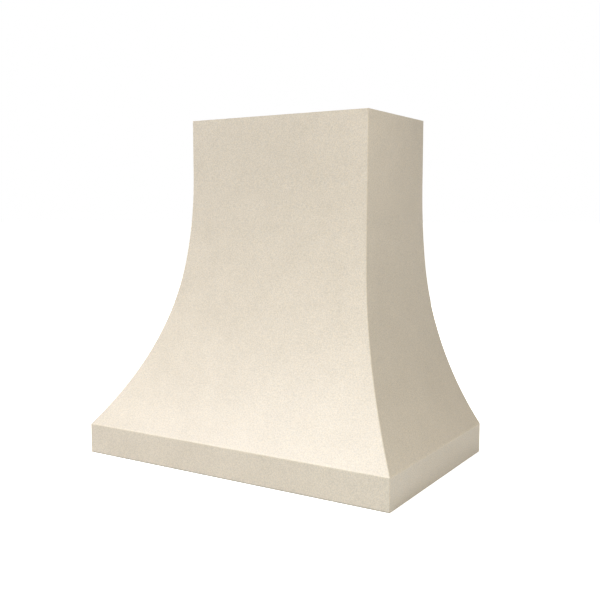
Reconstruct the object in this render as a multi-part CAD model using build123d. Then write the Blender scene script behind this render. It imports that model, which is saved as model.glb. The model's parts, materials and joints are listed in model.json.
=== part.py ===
from build123d import *
from math import cos, radians, sin, sqrt, tan
import os

# Curved wall-mounted range hood: a bent cover on a wooden frame, with a metal liner,
# three baffle filters, a double-inlet blower and a duct collar with two damper flaps.
# X runs left to right, the front faces -Y, the wall is at +Y and Z is up.
# The origin is the centre of the bottom rim's bounding rectangle.

INCH = 25.4
SPARE = 1.0  # extra length of blocks that only cut

# Cover, outside
hood_width = 36 * INCH
hood_depth = 22.5 * INCH
hood_height = 36 * INCH
apron_height = 3.125 * INCH
top_width = 550.0
top_depth = 335.0

# Flare of the side sheets and of the front sheet: each is straight at the top,
# then bends on an upper and a lower arc that meet at the blend height
side_straight_z = 733.0
side_blend_z = 522.0
side_upper_radius = 1950.0
front_straight_z = 777.0
front_blend_z = 522.0
front_upper_radius = 1310.0
edge_round = 3.0

# Wooden parts
board_thick = 19.0
skin_thick = 9.5
panel_thick = 18.0
batten_size = 30.0
rib_depth = 50.0
rib_spacing = 300.0
frame_border = 55.0
frame_head = 100.0
hanging_rail_height = 80.0
wall_cleat_height = 70.0
cleat_bevel_gap = 0.2
cleat_end_gap = 12.0
stud_spacing = 16 * INCH
wall_hole_radius = 4.0
rear_hole_z = 48.0

# Duct
duct_radius = 4 * INCH
duct_from_wall = 180.0
duct_cutout_gap = 6.4

# Liner pan
sheet = 1.2
liner_z = 20.0
liner_gap = 1.5
housing_from_side = 84.2
housing_rear_from_wall = 53.75
housing_front_from_front = 160.0
housing_roof_z = 135.0
screw_radius = 2.0
screw_head_radius = 4.2
screw_head_height = 2.4
screw_length = 24.0
screw_gap = 0.1

# Baffle filters
filter_tilt = 9.0
filter_thick = 22.0
filter_gap = 10.0
filter_side_gap = 7.0
filter_front_gap = 14.0
filter_rear_overhang = 8.0
hinge_from_housing = 18.0
hinge_z = 47.0
pin_radius = 2.5
pin_slot_gap = 0.3
ear_thick = 3.0
ear_overlap = 1.4
ear_reach = 30.0
ear_bottom_z = 38.0
ear_top_z = 72.0
filter_flange = 14.0
baffle_sheet = 1.0
baffle_width = 28.0
baffle_height = 12.0
baffle_count = 5
handle_width = 80.0
handle_drop = 27.0
handle_rod_radius = 3.0
handle_bend = 9.0
ledge_reach = 36.0
ledge_gap = 0.3
ledge_wall = 18.0
magnet_radius = 6.0
magnet_thick = 4.0
magnet_spacing = 120.0

# Lamps and controls on the front land
lamp_spacing = 500.0
lamp_radius = 29.0
lamp_height = 26.0
lamp_fins = 5
fin_thick = 2.0
fin_height = 9.0
bezel_radius = 35.0
bezel_thick = 2.6
lens_radius = 26.0
lens_gap = 0.2
fascia_width = 176.0
fascia_depth = 36.0
fascia_thick = 2.0
fascia_corner = 6.0
button_count = 5
button_pitch = 30.0
button_radius = 6.0
button_round = 1.0
button_gap = 0.4
button_stand = 4.0
button_travel = 2.0
button_flange_radius = 7.8
button_flange_thick = 2.0
button_seat_gap = 0.3
button_stem_radius = 2.5
button_stem_length = 12.0
bank_wall = 6.0
bank_height = 24.0

# Blower box and double-inlet blower
box_width = 400.0
box_front_from_duct = 141.75
box_rear_from_duct = 112.0
box_top_z = 350.0
box_flange = 12.0
wheel_radius = 65.0
wheel_inner_radius = 52.0
wheel_width = 120.0
wheel_disc = 2.0
wheel_rim = 1.5
blade_count = 30
blade_thick = 1.0
blade_lean = 9.0
blade_sag = 1.0
blade_disc_gap = 0.1
hub_radius = 12.0
hub_length = 20.0
shaft_radius = 4.0
shaft_gap = 0.05
shaft_in_motor = 22.0
scroll_step = 10.0
scroll_first_radius = 74.0
scroll_side_gap = 2.0
tongue_radius = 8.0
outlet_offset = 3.0
wheel_z = 215.0
inlet_radius = 48.0
inlet_round = 6.0
motor_radius = 40.0
motor_gap = 8.0
motor_length = 86.0
motor_end_round = 5.0
bracket_width = 14.0
bracket_clearance = 0.15
bracket_ring = 2.5
bracket_sheet = 2.0
bracket_arm = 16.0
bracket_reach = 68.0
bracket_arms = 3

# Duct collar with its damper
collar_radius = 100.0
collar_height = 78.0
collar_flange = 8.0
damper_z = 386.0
flap_thick = 1.0
flap_wall_gap = 1.3
flap_seat_gap = 0.3
seat_overlap = 4.5
rod_radius = 3.0
rod_hole_gap = 0.05
knuckle_gap = 0.1
knuckle_wall = 1.4
knuckle_length = 18.0
knuckle_end_gap = 1.0
flap_centre_gap = 5.6

# Junction box
junction_width = 55.0
junction_depth = 80.0
junction_height = 40.0
junction_from_duct = 160.0
junction_sheet = 1.5
knockout_radius = 11.1

# Values worked out from the sizes above
half_width = hood_width / 2
front_y = -hood_depth / 2
wall_y = hood_depth / 2
top_half = top_width / 2
inner_half = half_width - board_thick
apron_inner_y = front_y + board_thick
frame_rear_y = wall_y - board_thick
frame_front_y = frame_rear_y - panel_thick
duct_y = wall_y - duct_from_wall
top_under_z = hood_height - panel_thick
rail_low_z = top_under_z - hanging_rail_height
cleat_top_z = rail_low_z - cleat_bevel_gap
cleat_low_z = cleat_top_z - wall_cleat_height
cleat_hole_z = (cleat_low_z + cleat_top_z - board_thick) / 2
land_top_z = liner_z + sheet
liner_half = inner_half - liner_gap
liner_front_y = apron_inner_y + liner_gap
liner_rear_y = frame_rear_y - liner_gap
housing_half = half_width - housing_from_side
housing_front_y = front_y + housing_front_from_front
housing_rear_y = wall_y - housing_rear_from_wall
roof_top_z = housing_roof_z + sheet
filter_width = 2 * (housing_half - filter_gap - filter_side_gap) / 3
filter_pitch = filter_width + filter_gap
hinge_y = housing_rear_y - hinge_from_housing
filter_reach = hinge_y - housing_front_y - filter_front_gap
land_y = (liner_front_y + board_thick + housing_front_y) / 2
box_half = box_width / 2
box_front_y = duct_y - box_front_from_duct
box_rear_y = duct_y + box_rear_from_duct
box_roof_z = box_top_z + sheet
SIDES = {"left": -1, "right": 1}


def span_box(x0, x1, y0, y1, z0, z1):
    """A block between two opposite corners."""
    return Pos((x0 + x1) / 2, (y0 + y1) / 2, (z0 + z1) / 2) * Box(x1 - x0, y1 - y0, z1 - z0)


def rod(radius, length, x=0.0, y=0.0, z=0.0):
    """An upright cylinder that starts at the given point."""
    return Pos(x, y, z + length / 2) * Cylinder(radius, length)


def cross_rod(radius, x0, x1, y=0.0, z=0.0):
    """A cylinder along X between two places."""
    return Pos((x0 + x1) / 2, y, z) * Rot(0, 90, 0) * Cylinder(radius, x1 - x0)


def ring(outer, inner, height, x=0.0, y=0.0, z=0.0):
    """An upright tube."""
    return rod(outer, height, x, y, z) - rod(inner, height, x, y, z)


def upright(points, z0, z1):
    """A plan outline raised from z0 to z1."""
    return Pos(0, 0, z0) * extrude(make_face(Polyline(*points, close=True)), z1 - z0, dir=(0, 0, 1))


class Flare:
    """One flared outline: reach from the hood's middle or wall as a function of height."""

    def __init__(self, foot, top, straight_z, blend_z, upper_radius):
        self.foot, self.top = foot, top
        self.straight_z, self.blend_z, self.upper_radius = straight_z, blend_z, upper_radius
        self.upper_x = top + upper_radius
        blend_x = self.upper_x - sqrt(upper_radius**2 - (straight_z - blend_z) ** 2)
        normal_x = (self.upper_x - blend_x) / upper_radius
        normal_z = (straight_z - blend_z) / upper_radius
        run, fall = foot - blend_x, apron_height - blend_z
        self.lower_radius = (run**2 + fall**2) / (2 * (run * normal_x + fall * normal_z))
        self.lower_x = blend_x + self.lower_radius * normal_x
        self.lower_z = blend_z + self.lower_radius * normal_z
        self.normal_z = normal_z

    def blend_height(self, inset):
        """Height where the two arcs meet on the outline moved inwards."""
        return self.blend_z - inset * self.normal_z

    def reach(self, z, inset=0.0):
        """Distance from the middle or wall at height z, moved inwards along the normal."""
        if z >= self.straight_z:
            return self.top - inset
        if z >= self.blend_height(inset):
            return self.upper_x - sqrt((self.upper_radius + inset) ** 2 - (self.straight_z - z) ** 2)
        return self.lower_x - sqrt((self.lower_radius + inset) ** 2 - (self.lower_z - z) ** 2)

    def edges(self, z_low, z_high, inset=0.0):
        """Arcs and line of the outline from z_low up to z_high, as (reach, z) edges."""
        blend = self.blend_height(inset)
        stops = [(z_low, blend), (blend, self.straight_z)]
        parts = []
        for low, high in stops:
            middle = (low + high) / 2
            places = [(self.reach(z, inset), z) for z in (low, middle, high)]
            parts.append(ThreePointArc(*places))
        end = (self.top - inset, self.straight_z)
        parts.append(Line(end, (self.top - inset, z_high)))
        return parts


side_flare = Flare(half_width, top_half, side_straight_z, side_blend_z, side_upper_radius)
front_flare = Flare(hood_depth, top_depth, front_straight_z, front_blend_z, front_upper_radius)


def flare_face(flare, inset, z_low, z_high):
    """The face between the middle or wall line and an outline moved inwards."""
    base = max(z_low, apron_height)
    foot = (flare.reach(base, inset), base)
    edges = flare.edges(base, z_high, inset)
    edges += [Line((flare.top - inset, z_high), (0, z_high)), Line((0, z_high), (0, z_low))]
    if z_low < base:
        edges += [Line((0, z_low), (foot[0], z_low)), Line((foot[0], z_low), foot)]
    else:
        edges += [Line((0, z_low), foot)]
    return make_face(edges)


def side_prism(inset, z_low=0.0, z_high=hood_height):
    """Everything between the two side outlines, over the hood's depth."""
    half = extrude(Plane.XZ * flare_face(side_flare, inset, z_low, z_high), hood_depth / 2, both=True)
    return half + half.mirror(Plane.YZ)


def front_prism(inset, z_low=0.0, z_high=hood_height):
    """Everything between the wall and the front outline, over the hood's width."""
    wall_plane = Plane(origin=(0, wall_y, 0), x_dir=(0, -1, 0), z_dir=(-1, 0, 0))
    return extrude(wall_plane * flare_face(front_flare, inset, z_low, z_high), half_width, both=True)


def hood_block():
    """The hood's outer form as one block, with its shown edges rounded."""
    block = side_prism(0) & front_prism(0)
    shown = []
    for edge in block.edges():
        size = edge.bounding_box()
        corner = size.max.Y < wall_y - edge_round and size.size.Z > edge_round
        shoulder = size.min.Z > apron_height - edge_round and size.max.Z < apron_height + edge_round
        if corner or shoulder:
            shown.append(edge)
    return block.fillet(edge_round, shown)


def side_half(side):
    """Everything on one side of the middle."""
    return span_box(*sorted((0, side * hood_width)), -hood_depth, hood_depth, -SPARE, hood_height + SPARE)


def make_cover(parts):
    """Bent sheets and the mitred apron boards, cut from the hood's block."""
    block = hood_block()
    above = span_box(-hood_width, hood_width, -hood_depth, hood_depth, apron_height, hood_height + SPARE)
    band = span_box(-hood_width, hood_width, -hood_depth, hood_depth, -SPARE, apron_height)
    inside_front = front_prism(skin_thick, apron_height)
    upper = block & above
    lower = block & band
    parts["front_skin"] = upper - inside_front
    side_sheets = (upper & inside_front) - side_prism(skin_thick, apron_height)
    w, t = half_width, board_thick
    front_mitre = [(-w, front_y), (w, front_y), (w - t, front_y + t), (-w + t, front_y + t)]
    parts["apron_front"] = lower & upright(front_mitre, 0, apron_height)
    for name, side in SIDES.items():
        parts[f"{name}_skin"] = side_sheets & side_half(side)
        corners = [(side * w, front_y), (side * w, wall_y)]
        corners += [(side * (w - t), wall_y), (side * (w - t), front_y + t)]
        parts[f"apron_{name}"] = lower & upright(corners, 0, apron_height)


def wall_holes(z, y0, y1):
    """Screw holes through the wall-side boards, one stud apart."""
    drill = Rot(90, 0, 0) * Cylinder(wall_hole_radius, y1 - y0)
    return [Pos(side * stud_spacing / 2, (y0 + y1) / 2, z) * drill for side in SIDES.values()]


def make_frame(parts):
    """Wooden parts inside the cover and against the wall."""
    z0, z1 = apron_height, top_under_z
    inside_sides = side_prism(skin_thick, z0, z1)
    inside_front = front_prism(skin_thick, z0, z1)
    window_top = z1 - frame_head
    window = side_prism(skin_thick + frame_border, z0, z1)
    window &= span_box(-half_width, half_width, front_y, wall_y, z0 + frame_border, window_top)
    slab = span_box(-half_width, half_width, frame_front_y, frame_rear_y, z0, z1)
    parts["back_frame"] = (inside_sides & slab) - window

    corner = (inside_front - front_prism(skin_thick + batten_size, z0, z1)) & (
        inside_sides - side_prism(skin_thick + batten_size, z0, z1))
    rib_band = inside_front - front_prism(skin_thick + rib_depth, z0, z1)
    parts["corner_battens"] = Compound(children=[corner & side_half(side) for side in SIDES.values()])
    for name, side in SIDES.items():
        x = side * rib_spacing / 2
        slice_box = span_box(x - panel_thick / 2, x + panel_thick / 2, front_y, wall_y, z0, z1)
        parts[f"front_rib_{name}"] = rib_band & slice_box

    board = span_box(-top_half + skin_thick, top_half - skin_thick,
                     wall_y - top_depth + skin_thick, wall_y, z1, hood_height)
    parts["top_panel"] = board - rod(duct_radius + duct_cutout_gap, panel_thick, 0, duct_y, z1)

    rail_half = top_half - skin_thick - cleat_end_gap
    rail = [(wall_y, rail_low_z - board_thick), (frame_rear_y, rail_low_z),
            (frame_rear_y, z1), (wall_y, z1)]
    cleat = [(wall_y, cleat_top_z - board_thick), (frame_rear_y, cleat_top_z),
             (frame_rear_y, cleat_low_z), (wall_y, cleat_low_z)]
    for name, outline in (("hanging_rail", rail), ("wall_cleat", cleat)):
        face = make_face(Polyline(*outline, close=True))
        parts[name] = extrude(Plane.YZ * face, rail_half, both=True)
    for hole in wall_holes(cleat_hole_z, frame_rear_y, wall_y):
        parts["wall_cleat"] -= hole

    parts["rear_rail"] = span_box(-inner_half, inner_half, frame_rear_y, wall_y, 0, apron_height)
    low, high = land_top_z, apron_height
    rail_front, rail_rear = apron_inner_y + board_thick, frame_rear_y - board_thick
    parts["liner_rail_front"] = span_box(-inner_half, inner_half, apron_inner_y, rail_front, low, high)
    parts["liner_rail_back"] = span_box(-inner_half, inner_half, rail_rear, frame_rear_y, low, high)
    for name, side in SIDES.items():
        xs = sorted((side * inner_half, side * (inner_half - board_thick)))
        parts[f"liner_rail_{name}"] = span_box(*xs, rail_front, rail_rear, low, high)
    for hole in wall_holes(rear_hole_z, rail_rear, wall_y):
        parts["rear_rail"] -= hole
        parts["liner_rail_back"] -= hole


def screw_places():
    """Plan places of the screws that hold the liner's flange to its rails."""
    side_x = inner_half - board_thick / 2
    front_row, back_row = apron_inner_y + board_thick / 2, frame_rear_y - board_thick / 2
    places = [(side * side_x, y) for side in SIDES.values() for y in (front_y / 2, wall_y / 2)]
    places += [(side * half_width / 2, y) for side in SIDES.values() for y in (front_row, back_row)]
    return places


def make_screws(parts):
    """Pan-head screws through the liner's flange, with their pilot holes in the rails."""
    screws = []
    rails = ("liner_rail_front", "liner_rail_back", "liner_rail_left", "liner_rail_right")
    for x, y in screw_places():
        head = rod(screw_head_radius, screw_head_height, x, y, liner_z - screw_head_height)
        head = head.fillet(screw_radius / 2, head.edges().group_by(Axis.Z)[0])
        screws.append(head + rod(screw_radius, screw_length, x, y, liner_z))
        pilot = rod(screw_radius + screw_gap, screw_length + screw_gap, x, y, liner_z)
        for name in rails:
            parts[name] -= pilot
        parts["liner_pan"] -= pilot
    parts["liner_screws"] = Compound(children=screws)


def button_places():
    """X places of the buttons along the fascia."""
    first = -(button_count - 1) / 2 * button_pitch
    return [first + i * button_pitch for i in range(button_count)]


def make_liner(parts):
    """Folded pan: flange and front land in one plane, raised housing over the filters."""
    land = span_box(-liner_half, liner_half, liner_front_y, liner_rear_y, liner_z, land_top_z)
    outer = span_box(-housing_half - sheet, housing_half + sheet,
                     housing_front_y - sheet, housing_rear_y + sheet, liner_z, roof_top_z)
    inner = span_box(-housing_half, housing_half, housing_front_y, housing_rear_y,
                     liner_z - sheet, housing_roof_z)
    mouth = span_box(-box_half, box_half, box_front_y, box_rear_y, housing_roof_z, roof_top_z)
    pan = land + outer - inner - mouth
    for side in SIDES.values():
        pan -= rod(lamp_radius, sheet, side * lamp_spacing / 2, land_y, liner_z)
    for x in button_places():
        pan -= rod(button_radius + button_gap, sheet, x, land_y, liner_z)
    parts["liner_pan"] = pan


def filter_plane(x=0.0):
    """Frame of a closed filter: origin on the hinge line, X across, Y to its front, Z up."""
    tilt = radians(filter_tilt)
    return Plane(origin=(x, hinge_y, hinge_z), x_dir=(-1, 0, 0), z_dir=(0, sin(tilt), cos(tilt)))


def make_filter_stops(parts):
    """Slotted ears behind the filters, and the ledge with magnets in front of them."""
    half_thick = filter_thick / 2
    strip = span_box(-housing_half, housing_half, housing_rear_y - sheet, housing_rear_y,
                     ear_bottom_z, ear_top_z)
    slot = cross_rod(pin_radius + pin_slot_gap, -ear_thick, ear_thick, hinge_y, hinge_z)
    slot += span_box(-ear_thick, ear_thick, hinge_y - pin_radius - pin_slot_gap,
                     hinge_y + pin_radius + pin_slot_gap, hinge_z, ear_top_z)
    ear = span_box(-ear_thick / 2, ear_thick / 2, housing_rear_y - ear_reach,
                   housing_rear_y - sheet, ear_bottom_z, ear_top_z) - slot
    for x in ear_places():
        strip += Pos(x, 0, 0) * ear
    parts["hinge_ears"] = strip

    place = filter_plane()
    wall_run = (hinge_y - housing_front_y) / cos(radians(filter_tilt))
    low = half_thick + ledge_gap
    reach = wall_run + low * tan(radians(filter_tilt))
    tongue = span_box(-housing_half, housing_half, reach - ledge_reach, reach, low, low + sheet)
    ledge = place * tongue
    wall_low = (ledge.faces().sort_by(Axis.Y)[0].center()).Z
    web = span_box(-housing_half, housing_half, housing_front_y, housing_front_y + sheet,
                   wall_low, min(wall_low + ledge_wall, housing_roof_z))
    room = span_box(-housing_half, housing_half, housing_front_y, housing_rear_y, liner_z, housing_roof_z)
    ledge = (ledge + web) & room
    magnets = []
    magnet_y = filter_reach - filter_flange / 2
    for i in (-1, 0, 1):
        for side in SIDES.values():
            x = i * filter_pitch + side * magnet_spacing / 2
            magnets.append(place * rod(magnet_radius, magnet_thick, x, magnet_y, low))
            ledge -= place * rod(magnet_radius, sheet, x, magnet_y, low)
    parts["front_ledge"] = ledge
    parts["filter_magnets"] = Compound(children=magnets)


def ear_places():
    """X places of the ears: beside each outer filter and between neighbours."""
    edge = 1.5 * filter_width + filter_gap + filter_gap / 2
    return [-edge, -filter_pitch / 2, filter_pitch / 2, edge]


def make_filter(parts, name, x):
    """One baffle filter: channel frame with hinge pins, interlocking baffles and handle."""
    place = filter_plane(x)
    w, t, rim = filter_width / 2, filter_thick / 2, filter_flange
    back, front = -filter_rear_overhang, filter_reach
    frame = span_box(-w, w, back, front, -t, t)
    frame -= span_box(-w + rim, w - rim, back + rim, front - rim, -t, t)
    frame -= span_box(-w + sheet, w - sheet, back + sheet, front - sheet, -t + sheet, t - sheet)
    pin = (filter_gap - ear_thick) / 2 + ear_overlap
    frame += cross_rod(pin_radius, w - sheet, w + pin)
    frame += cross_rod(pin_radius, -w - pin, -w + sheet)
    parts[f"filter_{name}_frame"] = place * frame

    pitch = (filter_width - 2 * rim - baffle_width) / (baffle_count - 1)
    bed = t - sheet
    low_channel = channel(baffle_width, baffle_height, baffle_sheet, -bed, 1)
    high_channel = channel(baffle_width, baffle_height, baffle_sheet, bed, -1)
    baffles = []
    for i in range(baffle_count):
        centre = (i - (baffle_count - 1) / 2) * pitch
        baffles.append(Pos(centre, 0, 0) * low_channel)
        if i:
            baffles.append(Pos(centre - pitch / 2, 0, 0) * high_channel)
    run = front - back - 2 * sheet
    baffles = [place * Pos(0, back + sheet, 0) * extrude(b, run, dir=(0, 1, 0)) for b in baffles]
    parts[f"filter_{name}_baffles"] = Compound(children=baffles)

    top, low = -t, -t - handle_drop
    half = handle_width / 2
    corners = [(-half, 0, top), (-half, 0, low), (half, 0, low), (half, 0, top)]
    route = FilletPolyline(*corners, radius=handle_bend)
    section = Plane(origin=(-half, 0, top), z_dir=(0, 0, -1)) * Circle(handle_rod_radius)
    handle = sweep(section, path=route)
    parts[f"filter_{name}_handle"] = place * Pos(0, front - rim / 2, 0) * handle


def channel(width, height, thick, bed, up):
    """Cross-section of a folded channel that lies on bed and opens up or down."""
    w = width / 2
    rise = bed + up * height
    floor = bed + up * thick
    outline = [(-w, bed), (w, bed), (w, rise), (w - thick, rise)]
    outline += [(w - thick, floor), (-w + thick, floor), (-w + thick, rise), (-w, rise)]
    return Plane.XZ * make_face(Polyline(*outline, close=True))


def make_lamp(parts, name, side):
    """A round lamp: finned can above the land, glass and trim ring below it."""
    x, y = side * lamp_spacing / 2, land_y
    seat = land_top_z
    can = rod(lamp_radius + sheet, sheet, x, y, seat) + rod(lamp_radius, lamp_height, x, y, seat)
    pitch = 2 * (lamp_radius - fin_thick) / (lamp_fins + 1)
    crown = rod(lamp_radius, fin_height, x, y, seat + lamp_height)
    for i in range(lamp_fins):
        fin_x = x + (i - (lamp_fins - 1) / 2) * pitch
        slab = span_box(fin_x - fin_thick / 2, fin_x + fin_thick / 2, y - lamp_radius, y + lamp_radius,
                        seat + lamp_height, seat + lamp_height + fin_height)
        can += slab & crown
    parts[f"lamp_can_{name}"] = can
    low = liner_z - bezel_thick
    bezel = rod(bezel_radius, bezel_thick, x, y, low)
    bezel = bezel.chamfer(bezel_thick / 2, None, bezel.edges().group_by(Axis.Z)[0])
    parts[f"lamp_bezel_{name}"] = bezel - rod(lens_radius + lens_gap, bezel_thick, x, y, low)
    parts[f"lamp_lens_{name}"] = rod(lens_radius, seat - low - sheet / 2, x, y, low + sheet / 2)


def make_controls(parts):
    """Fascia, switch bank and the sprung push buttons between them."""
    low = liner_z - fascia_thick
    plate = Pos(0, land_y, low) * extrude(
        RectangleRounded(fascia_width, fascia_depth, fascia_corner), fascia_thick)
    half_bank = button_places()[-1] + button_flange_radius + bank_wall
    half_deep = button_flange_radius + bank_wall
    bank = span_box(-half_bank, half_bank, land_y - half_deep, land_y + half_deep,
                    land_top_z, land_top_z + bank_height)
    seat = land_top_z + button_seat_gap
    for number, x in enumerate(button_places(), 1):
        plate -= rod(button_radius + button_gap, fascia_thick, x, land_y, low)
        pocket = button_seat_gap + button_flange_thick + button_travel + button_gap
        bank -= rod(button_flange_radius + button_gap, pocket, x, land_y, land_top_z)
        bank -= rod(button_stem_radius + button_gap, button_stem_length + button_travel, x, land_y,
                    land_top_z + pocket - button_gap)
        cap = rod(button_radius, seat - low + button_stand, x, land_y, low - button_stand)
        cap = cap.fillet(button_round, cap.edges().group_by(Axis.Z)[0])
        cap += rod(button_flange_radius, button_flange_thick, x, land_y, seat)
        stem_z = seat + button_flange_thick
        parts[f"button_{number}"] = cap + rod(button_stem_radius, button_stem_length, x, land_y, stem_z)
    parts["control_fascia"] = plate
    parts["switch_bank"] = bank


def make_box(parts):
    """Sheet box over the housing's mouth, open below, with the blower's outlet in its roof."""
    s, f = sheet, box_flange
    outer = span_box(-box_half - s, box_half + s, box_front_y - s, box_rear_y + s, roof_top_z, box_roof_z)
    flange = span_box(-box_half - f, box_half + f, box_front_y - f,
                      min(box_rear_y + f, housing_rear_y + s), roof_top_z, roof_top_z + s)
    inner = span_box(-box_half, box_half, box_front_y, box_rear_y, roof_top_z, box_top_z)
    y0, y1 = outlet_span()
    outlet = span_box(-scroll_half(), scroll_half(), y0, y1, box_top_z, box_roof_z)
    parts["blower_box"] = outer + flange - inner - outlet


def scroll_half():
    """Half the width of the scroll between its side plates."""
    return wheel_width / 2 + scroll_side_gap


def outlet_span():
    """Front and rear of the scroll's outlet, which is centred under the duct."""
    width = scroll_step / 2 + scroll_first_radius + 2 * scroll_step - outlet_offset
    return duct_y - width / 2, duct_y + width / 2


def wheel_y():
    """Depth place of the wheel's axis."""
    return outlet_span()[0] - outlet_offset


def scroll_edges(grow):
    """The scroll's wall in the YZ plane, moved outwards by grow: tongue, three quarter turns
    about the corners of a small square, and the straight rear wall up to the outlet."""
    y, z, a = wheel_y(), wheel_z, scroll_step / 2
    radius = scroll_first_radius
    start = (y - a, z - a + radius + grow)
    corners = [(y - a, z - a), (y + a, z - a), (y + a, z + a)]
    edges = []
    turn_y, turn_z = start[0], z - a + radius + tongue_radius
    bend = tongue_radius - grow
    edges.append(Line((turn_y + bend, box_top_z), (turn_y + bend, turn_z)))
    edges.append(CenterArc((turn_y, turn_z), bend, 0, -90))
    for i, corner in enumerate(corners):
        edges.append(CenterArc(corner, radius + i * scroll_step + grow, 90 + 90 * i, 90))
    rear = y + a + radius + 2 * scroll_step + grow
    edges.append(Line((rear, z + a), (rear, box_top_z)))
    return edges


def scroll_face(grow):
    """The closed face inside the scroll's wall."""
    edges = scroll_edges(grow)
    edges.append(Line(edges[-1] @ 1, edges[0] @ 0))
    return Plane.YZ * make_face(edges)


def make_scroll(parts):
    """Scroll housing: spiral wall and two side plates with rounded inlets."""
    half = scroll_half()
    shell = extrude(scroll_face(sheet), half, both=True) - extrude(scroll_face(0), half, both=True)
    parts["scroll_wrap"] = shell
    y, z = wheel_y(), wheel_z
    for name, side in SIDES.items():
        x0, x1 = sorted((side * half, side * (half + sheet)))
        plate = Pos(x0, 0, 0) * extrude(scroll_face(sheet), sheet, dir=(1, 0, 0))
        plate -= cross_rod(inlet_radius + inlet_round, x0, x1, y, z)
        outer_x = half + sheet
        lip_x = outer_x - inlet_round
        centre = (lip_x, inlet_radius + inlet_round)
        inner_r = inlet_round - sheet
        throat, rim = (lip_x, inlet_radius), (outer_x, centre[1])
        k = sqrt(0.5)
        outer_arc = ThreePointArc(throat, (lip_x + k * inlet_round, centre[1] - k * inlet_round), rim)
        inner_arc = ThreePointArc((lip_x, inlet_radius + sheet),
                                  (lip_x + k * inner_r, centre[1] - k * inner_r),
                                  (outer_x - sheet, centre[1]))
        lip = make_face([outer_arc, Line(rim, inner_arc @ 1), inner_arc, Line(inner_arc @ 0, throat)])
        bell = revolve(lip, Axis.X)
        if side < 0:
            bell = bell.mirror(Plane.YZ)
        parts[f"scroll_side_{name}"] = plate + Pos(0, y, z) * bell


def blade_face():
    """Cross-section of one forward-curved blade, between two arcs."""
    lean = radians(blade_lean)
    inner, outer = wheel_inner_radius, wheel_radius
    start, end = Vector(inner, 0), Vector(outer * cos(lean), outer * sin(lean))
    belly = (inner + outer) / 2
    front = ThreePointArc(start, (belly, blade_sag), end)
    across = Vector(0, blade_thick)
    back = ThreePointArc(start + across, (belly, blade_sag + blade_thick), end + across)
    return make_face([front, Line(end, end + across), back, Line(start, start + across)])


def make_wheel(parts):
    """Squirrel-cage wheel, its blades held between two rims about one centre disc, and the
    motor's shaft."""
    half = wheel_width / 2
    turn = Pos(0, wheel_y(), wheel_z) * Rot(0, 90, 0)
    hub = rod(wheel_inner_radius - blade_disc_gap, wheel_disc, 0, 0, -wheel_disc / 2)
    hub += rod(hub_radius, hub_length, 0, 0, -hub_length)
    hub -= rod(shaft_radius, 2 * wheel_width, 0, 0, -wheel_width)
    rims = [ring(wheel_radius + wheel_rim, wheel_inner_radius, wheel_rim, z=z)
            for z in (-half, half - wheel_rim)]
    parts["wheel_frame"] = Compound(children=[turn * piece for piece in (hub, *rims)])
    blade = extrude(blade_face(), half - wheel_rim, both=True)
    blades = [turn * Rot(0, 0, 360 / blade_count * i) * blade for i in range(blade_count)]
    parts["wheel_blades"] = Compound(children=blades)
    length = hub_length + motor_gap + shaft_in_motor
    shaft = rod(shaft_radius, length, 0, 0, -hub_length)
    parts["motor_shaft"] = turn * shaft


def make_motor(parts):
    """Motor inside the wheel's right half, held by a three-armed bracket."""
    y, z = wheel_y(), wheel_z
    x0, x1 = motor_gap, motor_gap + motor_length
    motor = cross_rod(motor_radius, x0, x1, y, z)
    motor = motor.fillet(motor_end_round, motor.edges().filter_by(GeomType.CIRCLE))
    motor -= cross_rod(shaft_radius + shaft_gap, x0, x0 + shaft_in_motor + shaft_gap, y, z)
    parts["motor"] = motor
    bx = scroll_half() + sheet
    inner = motor_radius + bracket_clearance
    bracket = cross_rod(inner + bracket_ring, bx, bx + bracket_width, y, z)
    for i in range(bracket_arms):
        arm = span_box(bx, bx + bracket_sheet, -bracket_arm / 2, bracket_arm / 2, 0, bracket_reach)
        bracket += Pos(0, y, z) * Rot(360 / bracket_arms * i, 0, 0) * arm
    parts["motor_bracket"] = bracket - cross_rod(inner, bx, bx + bracket_width, y, z)


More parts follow.
